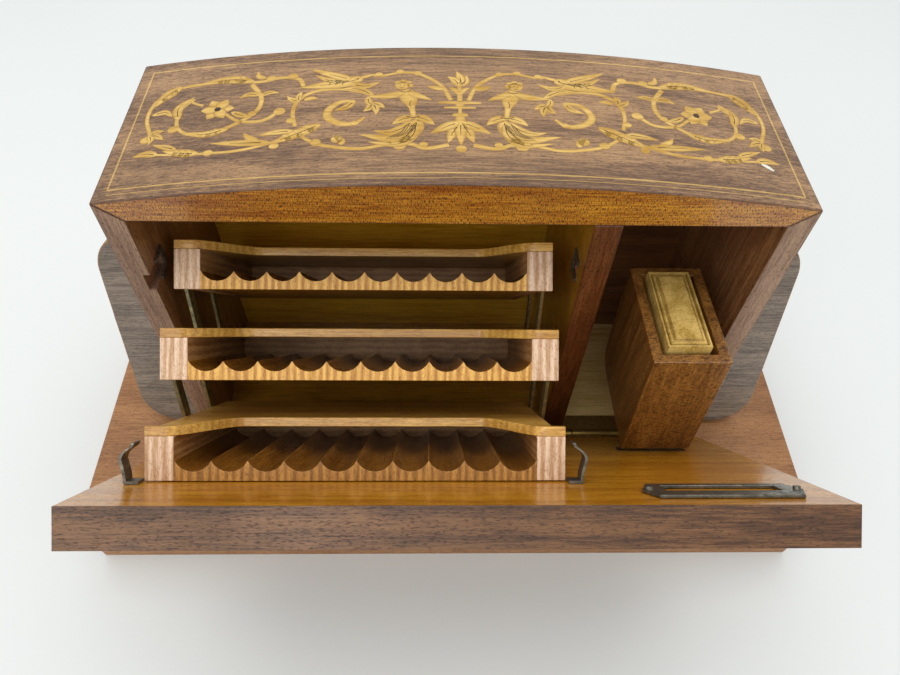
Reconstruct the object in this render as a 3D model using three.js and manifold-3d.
// Musical cigarette dispenser: a marquetry cabinet on a plinth, with a fall front that carries
// three linked cigarette trays and a matchbox holder. A small cylinder movement sits in the plinth.
// Millimetres. +X right, +Y to the back, +Z up. Origin: centre of the plinth's underside.
import * as THREE from 'three';
import Module from 'manifold-3d';
import { mergeVertices } from 'three/addons/utils/BufferGeometryUtils.js';

const wasm = await Module();
wasm.setup();

// ---------- driving dimensions ----------
const GAP = 0.3; // clearance between pieces that only touch

const plinth = { width: 286, depth: 141, height: 30, rail: 8, top: 5, bottom: 4 };
const cabinet = {
  width: 200, depth: 64, cornerZ: 161, crown: 8.2, wall: 7.6, railZ: 154.5, back: 6, floor: 4.4,
};
const divider = { left: 37.8, thickness: 8.2 };
const hinge = {
  y: -32.3, z: 35, knuckle: 1.8, bore: 0.95, pin: 0.75, halfLength: 84, leaf: 0.8, leafDepth: 6.5,
};
const door = { width: 200, length: 119.2, thickness: 11, openDeg: 37.2 };
const tray = {
  centreX: -29, width: 118.8, length: 68, frontS: 92.5, height: 15.4,
  cheek: 8.2, cover: 2.8, bed: 5.7, grooves: 10, groovePitch: 10.2, grooveDepth: 3.1,
  ear: 1.8, relief: 3.6, back: 4, cutBack: 20, cutMargin: 5.5, cutCurve: 18,
};
const link = {
  length: 31.2, width: 4.2, thickness: 1.1, inset: 2, openDeg: 38, closedDeg: 63.3,
  firstPin: 4.3, spacing: 26, lowerPin: 5.9, upperPin: 2.9, rivet: 1.5, rivetHead: 0.7,
};
const holder = {
  x0: 59.6, width: 24.3, depth: 42, height: 50, wall: 3.4, floor: 4,
  s: 43, corner: 9, lift: 0.9, leanDeg: 4.2, leafInset: 1, doorLeaf: [33.6, 41],
};
const matchbox = {
  width: 14, depth: 33, height: 45, wall: 0.9, rimHeight: 0.9, lip: 1.6, offset: [-0.2, 0.55],
};
const catchSpring = { s: 93.5, width: 4.6, thickness: 0.8, foot: 3.2, outset: 4 };
const keeper = {
  bar: 1.2, frontY: -27, backY: -20, thickness: 0.7, pocketDeep: 2.2, pocket: [125.8, 132.1],
};
const striker = {
  x: 70, s: 106.4, length: 38, width: 13.4, windowLength: 31, windowWidth: 6, thickness: 0.9, tip: 2.8,
};
const wing = { outerX: 126.3, height: 89, thickness: 6, corner: 15, rakeDeg: 16, footY: -24.5 };
const movement = {
  x: -60, y: 0, plateZ: 9, plate: 2, plateX: [-80, 6], halfDepth: 22, postRadius: 2.2, postInset: [5, 3],
  barrelR: 15, barrelH: 11.5, rim: 1.5, rimHeight: 2.6, keyShaft: 2, keyHalf: [11, 1.5], keyZ: [0.8, 6.5],
};
const cylinder = {
  x: -26, y: 6, z: 18, radius: 6, length: 26, pinion: 4.2, arbor: 1, overhang: 4, pins: 8, pinRadius: 0.3,
};
const comb = { half: 11.7, teeth: 18, toothShare: 0.7, toothLength: 8, heel: 6, thickness: 1, gap: 1 };
const governor = { width: 9, frontY: 12, offset: 6, top: 23.5, bar: 1.2, fly: 2.8, flyThickness: 0.35 };
const stopPin = {
  x: 60, y: -38.5, radius: 1.5, hole: 1.9, top: 30.15, bottom: 12, collar: 3, collarZ: [18, 20],
};

const halfW = cabinet.width / 2;
const frontY = -cabinet.depth / 2;
const backY = cabinet.depth / 2;
const baseZ = plinth.height;
const openAngle = THREE.MathUtils.degToRad(door.openDeg);

// ---------- materials ----------
const wood = (color, roughness = 0.45) => new THREE.MeshStandardMaterial({ color, roughness });
const metal = (color, roughness = 0.4) => {
  return new THREE.MeshStandardMaterial({ color, roughness, metalness: 0.9 });
};
const colours = {
  walnut: 0x6e4530, mahogany: 0x8a4a26, golden: 0xc07a35, trayWood: 0xc98a4e, wing: 0x4b3a31,
  plinth: 0x8a5530, pale: 0xd9b777, brass: 0x8c7a4a, steel: 0x4c4a40, gold: 0xc9a04f, card: 0xe0d3ad,
  cylinder: 0xb9a05a, comb: 0x9a9a98,
};

// ---------- geometry helpers ----------
const cyclic = new THREE.Matrix4().makeBasis(
  new THREE.Vector3(0, 1, 0), new THREE.Vector3(0, 0, 1), new THREE.Vector3(1, 0, 0));

function polygon(points) {
  return new THREE.Shape(points.map(([a, b]) => new THREE.Vector2(a, b)));
}

function extrude(shape, depth) {
  return new THREE.ExtrudeGeometry(shape, { depth, bevelEnabled: false, curveSegments: 10 });
}

// A shape in (y, z) carried along X.
function alongX(shape, x0, x1) {
  const geometry = extrude(shape, x1 - x0);
  return geometry.applyMatrix4(cyclic).translate(x0, 0, 0);
}

// A shape in (x, z) carried along Y.
function alongY(shape, y0, y1) {
  const geometry = extrude(shape, y1 - y0);
  return geometry.rotateX(Math.PI / 2).translate(0, y1, 0);
}

// A shape in (x, y) carried along Z.
function alongZ(shape, z0, z1) {
  const geometry = extrude(shape, z1 - z0);
  return geometry.translate(0, 0, z0);
}

function block(x, y, z) {
  const geometry = new THREE.BoxGeometry(x[1] - x[0], y[1] - y[0], z[1] - z[0]);
  return geometry.translate((x[0] + x[1]) / 2, (y[0] + y[1]) / 2, (z[0] + z[1]) / 2);
}

function rod(radius, from, to, segments = 20) {
  const start = new THREE.Vector3(...from);
  const end = new THREE.Vector3(...to);
  const axis = end.clone().sub(start);
  const geometry = new THREE.CylinderGeometry(radius, radius, axis.length(), segments);
  const turn = new THREE.Quaternion();
  turn.setFromUnitVectors(new THREE.Vector3(0, 1, 0), axis.clone().normalize());
  return geometry.applyQuaternion(turn).translate(...start.add(end).multiplyScalar(0.5).toArray());
}

function solid(geometry) {
  const bare = geometry.clone();
  bare.deleteAttribute('normal');
  bare.deleteAttribute('uv');
  const merged = mergeVertices(bare, 1e-4);
  return new wasm.Manifold(new wasm.Mesh({
    numProp: 3,
    vertProperties: new Float32Array(merged.attributes.position.array),
    triVerts: new Uint32Array(merged.index.array),
  }));
}

function toGeometry(body) {
  const mesh = body.getMesh();
  const geometry = new THREE.BufferGeometry();
  geometry.setAttribute('position', new THREE.BufferAttribute(mesh.vertProperties, 3));
  geometry.setIndex(new THREE.BufferAttribute(mesh.triVerts, 1));
  geometry.computeVertexNormals();
  return geometry;
}

function join(...geometries) {
  return toGeometry(geometries.map(solid).reduce((a, b) => a.add(b)));
}

function cut(geometry, ...tools) {
  return toGeometry(tools.map(solid).reduce((a, b) => a.subtract(b), solid(geometry)));
}

function addPiece(parent, name, geometry, material) {
  const mesh = new THREE.Mesh(geometry, material);
  mesh.name = name;
  parent.add(mesh);
  return mesh;
}

const group = new THREE.Group();

// ---------- plinth ----------
function buildPlinth() {
  const hx = plinth.width / 2;
  const hy = plinth.depth / 2;
  const railTop = plinth.height - plinth.top;
  const stain = () => wood(colours.plinth, 0.5);
  const topBoard = block([-hx, hx], [-hy, hy], [railTop, plinth.height]);
  const stopHole = rod(stopPin.hole, [stopPin.x, stopPin.y, railTop - 1], [stopPin.x, stopPin.y, baseZ + 1]);
  addPiece(group, 'plinth_top', cut(topBoard, stopHole), stain());
  addPiece(group, 'plinth_front_rail', block([-hx, hx], [-hy, -hy + plinth.rail], [0, railTop]), stain());
  addPiece(group, 'plinth_back_rail', block([-hx, hx], [hy - plinth.rail, hy], [0, railTop]), stain());
  const innerY = hy - plinth.rail;
  const endRail = (x) => block(x, [-innerY, innerY], [0, railTop]);
  addPiece(group, 'plinth_left_rail', endRail([-hx, -hx + plinth.rail]), stain());
  addPiece(group, 'plinth_right_rail', endRail([hx - plinth.rail, hx]), stain());
  const innerX = hx - plinth.rail;
  const keyHole = 24;
  const bottom = block([-innerX, innerX], [-innerY, innerY], [0, plinth.bottom]);
  const opening = rod(keyHole, [movement.x, movement.y, -1], [movement.x, movement.y, plinth.bottom + 1], 32);
  addPiece(group, 'plinth_bottom', cut(bottom, opening), wood(colours.pale, 0.7));
}

// ---------- cabinet ----------
// Height of the arched top at a distance x from the middle.
function archZ(x) {
  const radius = (halfW ** 2 + cabinet.crown ** 2) / (2 * cabinet.crown);
  return cabinet.cornerZ + cabinet.crown - radius + Math.sqrt(radius ** 2 - x ** 2);
}

function buildCabinet() {
  const innerX = halfW - cabinet.wall;
  const mitre = 0.1;
  const wallOutline = polygon([
    [-halfW, baseZ], [-innerX, baseZ], [-innerX, cabinet.railZ - mitre], [-halfW, cabinet.cornerZ - mitre],
  ]);
  const inBack = keeper.backY - keeper.bar;
  const pocket = (x, y0) => block(x, [y0, inBack], keeper.pocket);
  const leftWall = alongY(wallOutline, frontY, backY);
  const leftPocket = pocket([-innerX - keeper.pocketDeep, -innerX + 1], frontY - 1);
  addPiece(group, 'left_wall', cut(leftWall, leftPocket), wood(colours.mahogany));
  const rightWall = alongY(polygon([
    [innerX, baseZ], [halfW, baseZ], [halfW, cabinet.cornerZ - mitre], [innerX, cabinet.railZ - mitre],
  ]), frontY, backY);
  addPiece(group, 'right_wall', rightWall, wood(colours.mahogany));

  const steps = 32;
  const crown = [];
  for (let i = 0; i <= steps; i += 1) {
    const x = halfW - (i / steps) * cabinet.width;
    crown.push([x, archZ(x)]);
  }
  const topOutline = polygon([[-innerX, cabinet.railZ], [innerX, cabinet.railZ], ...crown]);
  addPiece(group, 'top_board', alongY(topOutline, frontY, backY), wood(colours.walnut));

  const backInner = backY - cabinet.back;
  addPiece(group, 'cabinet_back',
    block([-innerX, innerX], [backInner, backY], [baseZ, cabinet.railZ]), wood(colours.pale, 0.6));
  const floorTop = baseZ + cabinet.floor;
  addPiece(group, 'cabinet_floor',
    block([-innerX, innerX], [hinge.y + 2.3, backInner], [baseZ, floorTop]), wood(colours.pale, 0.6));

  const leafBack = hinge.y + 1.8 + hinge.leafDepth + 1;
  const underLeaf = hinge.z + hinge.leaf + GAP;
  const dividerOutline = polygon([
    [frontY, underLeaf + 2], [hinge.y + 2.6, underLeaf + 2],
    [hinge.y + 2.6, underLeaf], [leafBack, underLeaf],
    [leafBack, floorTop], [backInner, floorTop], [backInner, cabinet.railZ], [frontY, cabinet.railZ],
  ]);
  const board = alongX(dividerOutline, divider.left, divider.left + divider.thickness);
  const rightX = [divider.left - 1, divider.left + keeper.pocketDeep];
  const rightPocket = pocket(rightX, keeper.frontY + keeper.bar);
  addPiece(group, 'divider', cut(board, rightPocket), wood(colours.mahogany));

  // A keeper is a thin plate, open at the front, around its pocket.
  const [low, high] = keeper.pocket;
  const plate = polygon([
    [keeper.frontY, low - keeper.bar], [keeper.backY, low - keeper.bar], [keeper.backY, high + keeper.bar],
    [keeper.frontY, high + keeper.bar], [keeper.frontY, high],
    [inBack, high], [inBack, low], [keeper.frontY, low],
  ]);
  addPiece(group, 'left_keeper', alongX(plate, -innerX, -innerX + keeper.thickness), metal(colours.steel));
  addPiece(group, 'right_keeper',
    alongX(plate, divider.left - keeper.thickness, divider.left), metal(colours.steel));
}

// ---------- wing brackets ----------
// A flat board beside the cabinet, leaning back, with both outer corners rounded.
function buildWing(name, side) {
  const leaning = new THREE.Group();
  leaning.position.set(0, wing.footY, baseZ + 2);
  leaning.rotation.x = -THREE.MathUtils.degToRad(wing.rakeDeg);
  group.add(leaning);
  const inner = halfW + GAP;
  const outline = new THREE.Shape();
  outline.moveTo(inner, 0);
  outline.lineTo(wing.outerX - wing.corner, 0);
  outline.absarc(wing.outerX - wing.corner, wing.corner, wing.corner, -Math.PI / 2, 0, false);
  outline.lineTo(wing.outerX, wing.height - wing.corner);
  outline.absarc(wing.outerX - wing.corner, wing.height - wing.corner, wing.corner, 0, Math.PI / 2, false);
  outline.lineTo(inner, wing.height);
  outline.closePath();
  const geometry = alongY(outline, 0, wing.thickness);
  if (side < 0) {
    geometry.rotateZ(Math.PI).translate(0, wing.thickness, 0);
  }
  addPiece(leaning, name, geometry, wood(colours.wing, 0.6));
}

// ---------- door ----------
// Inside this group y is the distance behind the door's inner face and z the distance from the hinge.
const doorGroup = new THREE.Group();
doorGroup.position.set(0, hinge.y, hinge.z);
doorGroup.rotation.x = openAngle;
group.add(doorGroup);

function buildDoor() {
  const clearance = hinge.z - baseZ - GAP; // the hinge line stands this far above the plinth
  const bevelEnd = (door.thickness * Math.sin(openAngle) - clearance) / Math.cos(openAngle);
  // The foot is cut on two planes: one lies on the plinth and one along the cabinet's front when open.
  const foot = [-clearance * Math.sin(openAngle), -clearance * Math.cos(openAngle)];
  const section = polygon([
    [0, 0], [0, door.length], [-door.thickness, door.length], [-door.thickness, bevelEnd], foot,
  ]);
  const panel = alongX(section, -door.width / 2, door.width / 2);
  const seat = hinge.halfLength + GAP;
  const knuckleGroove = rod(hinge.knuckle + GAP, [-seat, 0, 0], [seat, 0, 0]);
  const leafSeat = block([-seat, seat], [-hinge.leaf - GAP, 1], [0, hinge.leafDepth + 2.5]);
  const seatS = [holder.doorLeaf[0] - GAP, holder.doorLeaf[1] + GAP];
  const holderLeafSeat = block([holder.x0, holder.x0 + holder.width], [-0.9, 1], seatS);
  addPiece(doorGroup, 'door_panel', cut(panel, knuckleGroove, leafSeat, holderLeafSeat),
    wood(colours.golden, 0.2));
}

// ---------- door hinge ----------
function knuckleRing(x0, x1) {
  const ring = new THREE.Shape();
  ring.absarc(0, 0, hinge.knuckle, 0, Math.PI * 2, false);
  const bore = new THREE.Path();
  bore.absarc(0, 0, hinge.bore, 0, Math.PI * 2, true);
  ring.holes.push(bore);
  return alongX(ring, x0, x1);
}

function buildHinge() {
  const count = 5;
  const pitch = (2 * hinge.halfLength) / count;
  const knuckles = [...Array(count).keys()].map((i) => {
    const x0 = -hinge.halfLength + i * pitch;
    return knuckleRing(x0 + 0.2, x0 + pitch - 0.2);
  });
  const bored = (geometry) => cut(geometry,
    rod(hinge.bore, [-hinge.halfLength - 1, 0, 0], [hinge.halfLength + 1, 0, 0], 20));
  const span = [-hinge.halfLength, hinge.halfLength];
  const clear = hinge.knuckle + 0.25;
  const half = hinge.leaf / 2;

  // Each leaf is a plate with the other leaf's knuckles cut out of its edge.
  const slots = (odd, makeSlot) => [...Array(count).keys()]
    .filter((i) => i % 2 === odd)
    .map((i) => makeSlot(-hinge.halfLength + i * pitch - 0.2, -hinge.halfLength + (i + 1) * pitch + 0.2));

  const fixedPlate = block(span, [1.2, hinge.knuckle + hinge.leafDepth], [-half, half]);
  const fixedSlots = slots(1, (x0, x1) => block([x0, x1], [0, clear], [-3, 3]));
  const fixedRings = knuckles.filter((_, i) => i % 2 === 0);
  const fixedLeaf = bored(join(cut(fixedPlate, ...fixedSlots), ...fixedRings));
  fixedLeaf.translate(0, hinge.y, hinge.z);
  addPiece(group, 'hinge_fixed_leaf', fixedLeaf, metal(colours.brass));

  const movingPlate = block(span, [-hinge.leaf - 0.1, -0.1], [1.2, hinge.knuckle + hinge.leafDepth]);
  const movingSlots = slots(0, (x0, x1) => block([x0, x1], [-3, 3], [0, clear]));
  const movingRings = knuckles.filter((_, i) => i % 2 === 1);
  const movingLeaf = bored(join(cut(movingPlate, ...movingSlots), ...movingRings));
  addPiece(doorGroup, 'hinge_moving_leaf', movingLeaf, metal(colours.brass));

  const pinEnd = (side) => [side * hinge.halfLength, hinge.y, hinge.z];
  addPiece(group, 'hinge_pin', rod(hinge.pin, pinEnd(-1), pinEnd(1), 12),
    metal(colours.steel));
}

// ---------- cigarette trays ----------
// Front edge of a cover: flush at both ends, with an S-curve into a long cut-back middle.
function coverOutline(rear) {
  const side = tray.width / 2;
  const inside = side - tray.relief;
  const shoulder = tray.frontS - tray.ear;
  const points = [[-inside, rear], [inside, rear], [inside, shoulder], [side, shoulder], [side, tray.frontS]];
  const steps = 12;
  const curve = [];
  for (let i = 0; i <= steps; i += 1) {
    const t = i / steps;
    const x = side - tray.cutMargin - t * tray.cutCurve;
    const drop = tray.cutBack * 0.5 * (1 - Math.cos(Math.PI * t));
    curve.push([x, tray.frontS - drop]);
  }
  points.push(...curve);
  points.push(...curve.map(([x, z]) => [-x, z]).reverse());
  points.push([-side, tray.frontS], [-side, shoulder], [-inside, shoulder]);
  return polygon(points);
}

function bedSection() {
  const half = (tray.grooves * tray.groovePitch) / 2;
  const edge = tray.width / 2 - tray.cheek;
  const chord = tray.groovePitch / 2;
  const radius = (chord ** 2 + tray.grooveDepth ** 2) / (2 * tray.grooveDepth);
  const sweep = Math.asin(chord / radius);
  const steps = 8;
  const points = [[-edge, 0], [-edge, tray.bed]];
  for (let g = 0; g < tray.grooves; g += 1) {
    const middle = -half + (g + 0.5) * tray.groovePitch;
    for (let i = 0; i <= steps; i += 1) {
      const a = -sweep + (2 * sweep * i) / steps;
      const y = tray.bed - tray.grooveDepth + radius * (1 - Math.cos(a));
      points.push([middle + radius * Math.sin(a), y]);
    }
  }
  points.push([edge, tray.bed], [edge, 0]);
  return polygon(points.filter(([x, y], i, all) => i === 0
    || Math.hypot(x - all[i - 1][0], y - all[i - 1][1]) > 1e-3));
}

// The tray's own frame is the door's: x across, y up from the underside, z towards the free end.
function buildTray(name, recess, lift) {
  const place = new THREE.Group();
  place.position.set(tray.centreX, lift, -recess);
  doorGroup.add(place);
  const rear = tray.frontS - tray.length;
  const side = tray.width / 2;
  const inner = side - tray.cheek;
  const cheekTop = tray.height - tray.cover;
  const stain = () => wood(colours.trayWood, 0.35);

  const bed = extrude(bedSection(), tray.length - tray.back);
  bed.translate(0, 0, rear + tray.back);
  addPiece(place, `${name}_bed`, bed, stain());

  const relieved = side - tray.relief;
  const cheek = polygon([
    [inner, rear], [relieved, rear], [relieved, tray.frontS - tray.ear], [side, tray.frontS - tray.ear],
    [side, tray.frontS], [inner, tray.frontS],
  ]);
  const rightCheek = alongY(cheek, 0, cheekTop);
  addPiece(place, `${name}_right_cheek`, rightCheek, stain());
  const leftCheek = alongY(polygon(cheek.getPoints().map((p) => [-p.x, p.y]).reverse()), 0, cheekTop);
  addPiece(place, `${name}_left_cheek`, leftCheek, stain());
  const backStrip = block([-inner, inner], [0, cheekTop], [rear, rear + tray.back]);
  addPiece(place, `${name}_back_strip`, backStrip, stain());
  const cover = alongY(coverOutline(rear), cheekTop, tray.height);
  addPiece(place, `${name}_cover`, cover, wood(colours.golden, 0.25));
}

// ---------- links ----------
// Flat strips with a rivet head at each end; every pair of trays has two on each side.
function buildLink(name, side, pinZ, pinY) {
  const x = tray.centreX + side * (tray.width / 2 - link.inset);
  const lean = THREE.MathUtils.degToRad(link.openDeg);
  const pivot = new THREE.Group();
  pivot.position.set(x, pinY, pinZ);
  pivot.rotation.x = lean;
  doorGroup.add(pivot);
  const r = link.width / 2;
  const outline = new THREE.Shape();
  outline.absarc(link.length, 0, r, -Math.PI / 2, Math.PI / 2, false);
  outline.absarc(0, 0, r, Math.PI / 2, (3 * Math.PI) / 2, false);
  outline.closePath();
  const inward = -side * link.thickness;
  const strip = alongX(outline, Math.min(0, inward), Math.max(0, inward));
  const head = (y) => rod(link.rivet, [side * -0.2, y, 0], [side * link.rivetHead, y, 0], 14);
  addPiece(pivot, name, join(strip, head(0), head(link.length)), metal(colours.brass));
}

function buildTraysAndLinks() {
  const open = THREE.MathUtils.degToRad(link.openDeg);
  const closed = THREE.MathUtils.degToRad(link.closedDeg);
  const restRise = link.length * Math.cos(open) + link.lowerPin - link.upperPin;
  const restReach = link.length * Math.sin(open);
  const closedRecess = 2.8;
  // The lower pin stands this far behind the upper one.
  const attachStep = link.length * Math.sin(closed) + closedRecess;
  const recess = attachStep - restReach;
  const levels = ['lower_tray', 'middle_tray', 'upper_tray'];
  levels.forEach((name, i) => buildTray(name, i * recess, GAP + i * restRise));
  ['lower', 'upper'].forEach((pair, i) => {
    ['front', 'rear'].forEach((end, k) => {
      const behindFront = link.firstPin + k * link.spacing + attachStep;
      const pinZ = tray.frontS - i * recess - behindFront;
      const pinY = GAP + i * restRise + link.lowerPin;
      buildLink(`${pair}_${end}_link_left`, -1, pinZ, pinY);
      buildLink(`${pair}_${end}_link_right`, 1, pinZ, pinY);
    });
  });
}

// ---------- catches and striker frame on the door ----------
// A strip with a foot on the door and an S-shaped blade that stands into the cabinet.
function buildCatch(name, traySide, side) {
  const base = traySide + side * catchSpring.outset;
  const bends = [[0, 0.4], [0.3, 3], [0.9, 5.4], [1.3, 7.2], [0.3, 9], [-1.6, 10.4], [-2.2, 11.6]];
  const path = new THREE.SplineCurve(bends.map(([out, rise]) => new THREE.Vector2(base + side * out, rise)));
  const half = catchSpring.thickness / 2;
  const blade = path.getPoints(16);
  const outer = blade.map((p) => [p.x + half, p.y]);
  const inner = blade.map((p) => [p.x - half, p.y]).reverse();
  const start = catchSpring.s - catchSpring.width / 2;
  const upright = new THREE.ExtrudeGeometry(polygon([...outer, ...inner]), {
    depth: catchSpring.width, bevelEnabled: false,
  });
  upright.translate(0, 0, start);
  const footEnd = base - side * catchSpring.foot;
  const foot = block([Math.min(base, footEnd) - half, Math.max(base, footEnd) + half],
    [0.15, 0.15 + catchSpring.thickness], [start, start + catchSpring.width]);
  addPiece(doorGroup, name, join(upright, foot), metal(colours.steel));
}

function buildStriker() {
  const hl = striker.length / 2;
  const hw = striker.width / 2;
  const outline = new THREE.Shape();
  outline.moveTo(-hl, -hw);
  outline.lineTo(hl, -hw);
  outline.lineTo(hl + striker.tip, 0);
  outline.lineTo(hl, hw);
  outline.lineTo(-hl, hw);
  outline.lineTo(-hl - striker.tip, 0);
  outline.closePath();
  const windowHole = new THREE.Path();
  const wl = striker.windowLength / 2;
  const wide = [-striker.windowWidth / 2 - 1.4, striker.windowWidth / 2 - 1.4];
  windowHole.moveTo(-wl, wide[0]);
  windowHole.lineTo(-wl, wide[1]);
  windowHole.lineTo(wl, wide[1]);
  windowHole.lineTo(wl, wide[0]);
  windowHole.closePath();
  outline.holes.push(windowHole);
  const plate = alongY(outline, 0.15, 0.15 + striker.thickness);
  const head = (x) => rod(1, [x, 0.5, 0], [x, 1.9, 0], 12);
  const frame = join(plate, head(-hl - 1), head(hl + 1));
  frame.translate(striker.x, 0, striker.s);
  addPiece(doorGroup, 'striker_frame', frame, metal(colours.steel));
}

// ---------- matchbox holder ----------
function buildHolder() {
  const line = new THREE.Vector3(0, 0, holder.s).applyAxisAngle(new THREE.Vector3(1, 0, 0), openAngle);
  const upright = new THREE.Group();
  upright.position.set(holder.x0, hinge.y + line.y, hinge.z + line.z);
  upright.rotation.x = -THREE.MathUtils.degToRad(holder.leanDeg);
  group.add(upright);
  const outline = new THREE.Shape();
  const front = 0.5;
  outline.moveTo(front, holder.lift);
  outline.lineTo(holder.depth - holder.corner, holder.lift);
  const { corner } = holder;
  outline.absarc(holder.depth - corner, holder.lift + corner, corner, -Math.PI / 2, 0, false);
  outline.lineTo(holder.depth, holder.height);
  outline.lineTo(front, holder.height);
  outline.closePath();
  const body = alongX(outline, 0, holder.width);
  const well = block([holder.wall, holder.width - holder.wall],
    [front + holder.wall, holder.depth - holder.wall], [holder.lift + holder.floor, holder.height + 1]);
  addPiece(upright, 'holder_box', cut(body, well), wood(colours.mahogany, 0.5));

  const leafX = [holder.leafInset, holder.width - holder.leafInset];
  const boxLeaf = block(leafX, [front + 1.4, front + 13], [holder.lift - 0.85, holder.lift - 0.15]);
  addPiece(upright, 'holder_hinge_leaf', boxLeaf, metal(colours.steel));
  const doorLeaf = block(leafX.map((x) => holder.x0 + x), [-0.75, -0.1], holder.doorLeaf);
  addPiece(doorGroup, 'holder_door_leaf', doorLeaf, metal(colours.steel));

  const cx = holder.width / 2 + matchbox.offset[0];
  const cy = (front + holder.depth) / 2 + matchbox.offset[1];
  const z0 = holder.lift + holder.floor + GAP;
  const hx = matchbox.width / 2;
  const hy = matchbox.depth / 2;
  const sleeve = block([cx - hx, cx + hx], [cy - hy, cy + hy], [z0, z0 + matchbox.height + matchbox.lip]);
  const bore = block([cx - hx + matchbox.wall, cx + hx - matchbox.wall],
    [cy - hy + matchbox.wall, cy + hy - matchbox.wall], [z0 - 1, z0 + matchbox.height + 5]);
  addPiece(upright, 'matchbox_sleeve', cut(sleeve, bore), metal(colours.gold, 0.45));

  const play = matchbox.wall + GAP;
  const drawerTop = z0 + matchbox.height + matchbox.lip - 0.2;
  const drawer = block([cx - hx + play, cx + hx - play],
    [cy - hy + play, cy + hy - play], [z0 + 0.4, drawerTop]);
  const hollow = block([cx - hx + play - 1, cx + hx - play - 1.4],
    [cy - hy + play + 1.4, cy + hy - play - 1.4], [z0 + 2, drawerTop - 2.4]);
  const rim = block([cx - hx + 2.6, cx + hx - 2.6], [cy - hy + 2.6, cy + hy - 2.6],
    [drawerTop - 0.5, drawerTop + matchbox.rimHeight]);
  addPiece(upright, 'matchbox_drawer', join(cut(drawer, hollow), rim), wood(colours.card, 0.7));
}

// ---------- cylinder movement in the plinth ----------
const deck = movement.plateZ + movement.plate;

function buildBarrelAndKey() {
  const { x, y, plateZ, plateX, halfDepth, barrelR, barrelH, rim } = movement;
  const plate = block(plateX, [y - halfDepth, y + halfDepth], [plateZ, deck]);
  const arborHole = rod(movement.keyShaft + 0.6, [x, y, plateZ - 1], [x, y, deck + 1]);
  const [insetX, insetY] = movement.postInset;
  const posts = [];
  for (const px of [plateX[0] + insetX, plateX[1] - insetX]) {
    for (const py of [y - halfDepth + insetY, y + halfDepth - insetY]) {
      posts.push(rod(movement.postRadius, [px, py, plinth.bottom], [px, py, plateZ + 0.5], 12));
    }
  }
  addPiece(group, 'movement_bedplate', cut(join(plate, ...posts), arborHole), metal(colours.brass));

  const drum = new THREE.LatheGeometry([
    [0, 0], [barrelR, 0], [barrelR, 2], [barrelR - rim, movement.rimHeight],
    [barrelR - rim, barrelH - 1], [barrelR - rim - 1, barrelH], [0, barrelH],
  ].map(([r, z]) => new THREE.Vector2(r, z)), 36);
  drum.rotateX(Math.PI / 2).translate(x, y, deck + GAP);
  addPiece(group, 'spring_barrel', drum, metal(colours.brass));

  const [keyX, keyY] = movement.keyHalf;
  const shaft = rod(movement.keyShaft, [x, y, 2], [x, y, deck], 16);
  const wings = block([x - keyX, x + keyX], [y - keyY, y + keyY], movement.keyZ);
  addPiece(group, 'winding_key', join(shaft, wings), metal(colours.steel));
}

function buildCylinder() {
  const { radius, pinion, arbor, overhang, length } = cylinder;
  const c0 = cylinder.x - length / 2;
  const c1 = cylinder.x + length / 2;
  const at = (x) => [x, cylinder.y, cylinder.z];
  const around = (x, reach, angle) => [
    x, cylinder.y + reach * Math.cos(angle), cylinder.z + reach * Math.sin(angle),
  ];
  const solids = [
    rod(radius, at(c0), at(c1), 28),
    rod(arbor, at(c0 - overhang), at(c1 + overhang), 12),
    rod(pinion, at(c0 - overhang + 0.6), at(c0 - 1), 16),
    rod(pinion, at(c1 + 1), at(c1 + overhang - 1.6), 16),
  ];
  for (let i = 0; i < cylinder.pins; i += 1) {
    const angle = (2 * Math.PI * i) / cylinder.pins + 0.2;
    const x = c0 + 2 + ((i * 5) % (length - 4));
    solids.push(rod(cylinder.pinRadius, around(x, radius - 2, angle), around(x, radius + 0.4, angle), 6));
  }
  addPiece(group, 'music_cylinder', join(...solids), metal(colours.cylinder));
}

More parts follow.
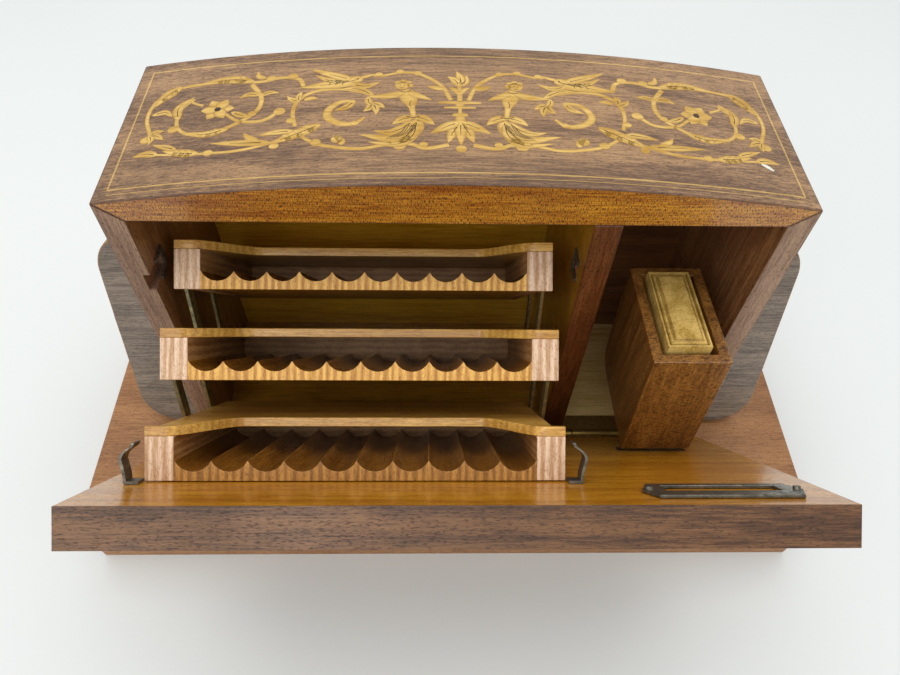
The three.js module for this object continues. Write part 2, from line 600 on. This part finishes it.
function buildComb() {
  const x = [cylinder.x - comb.half, cylinder.x + comb.half];
  const pitch = (x[1] - x[0]) / comb.teeth;
  const tipY = cylinder.y - cylinder.radius - comb.gap;
  const rootY = tipY - comb.toothLength;
  const rearY = rootY - comb.heel;
  const slit = pitch * (1 - comb.toothShare) / 2;
  const outline = [[x[0], rearY], [x[1], rearY]];
  for (let i = comb.teeth - 1; i >= 0; i -= 1) {
    const left = x[0] + i * pitch;
    outline.push([left + pitch - slit, rootY], [left + pitch - slit, tipY]);
    outline.push([left + slit, tipY], [left + slit, rootY]);
  }
  const half = comb.thickness / 2;
  const blade = alongZ(polygon(outline), cylinder.z - half, cylinder.z + half);
  const heel = block(x, [rearY, rootY - 1], [deck, cylinder.z]);
  addPiece(group, 'comb', join(blade, heel), metal(colours.comb));
}

function buildGovernor() {
  const left = cylinder.x + cylinder.length / 2 + governor.offset;
  const x = [left, left + governor.width];
  const y = [governor.frontY, governor.frontY + governor.width];
  const inner = block([x[0] - 1, x[1] - 1], [y[0] - 1, y[1] + 1], [deck + 1, governor.top - governor.bar]);
  const cage = cut(block(x, y, [deck, governor.top]), inner);
  addPiece(group, 'governor_frame', cage, metal(colours.brass));
  const fx = (x[0] + x[1] - 1) / 2;
  const fy = (y[0] + y[1]) / 2;
  const arbor = rod(0.8, [fx, fy, deck + 1.3], [fx, fy, governor.top - 1.5], 12);
  const vane = block([fx - governor.fly, fx + governor.fly],
    [fy - governor.flyThickness, fy + governor.flyThickness], [deck + 5, deck + 10]);
  addPiece(group, 'air_brake_fly', join(arbor, vane), metal(colours.steel));
}

function buildStopPlunger() {
  const { x, y } = stopPin;
  const pin = rod(stopPin.radius, [x, y, stopPin.bottom], [x, y, stopPin.top], 16);
  const collar = rod(stopPin.collar, [x, y, stopPin.collarZ[0]], [x, y, stopPin.collarZ[1]], 16);
  addPiece(group, 'stop_plunger', join(pin, collar), metal(colours.steel));
}

buildPlinth();
buildCabinet();
buildWing('left_wing', -1);
buildWing('right_wing', 1);
buildDoor();
buildHinge();
buildTraysAndLinks();
buildCatch('left_catch_spring', tray.centreX - tray.width / 2, -1);
buildCatch('right_catch_spring', tray.centreX + tray.width / 2, 1);
buildStriker();
buildHolder();
buildBarrelAndKey();
buildCylinder();
buildComb();
buildGovernor();
buildStopPlunger();

export default group;
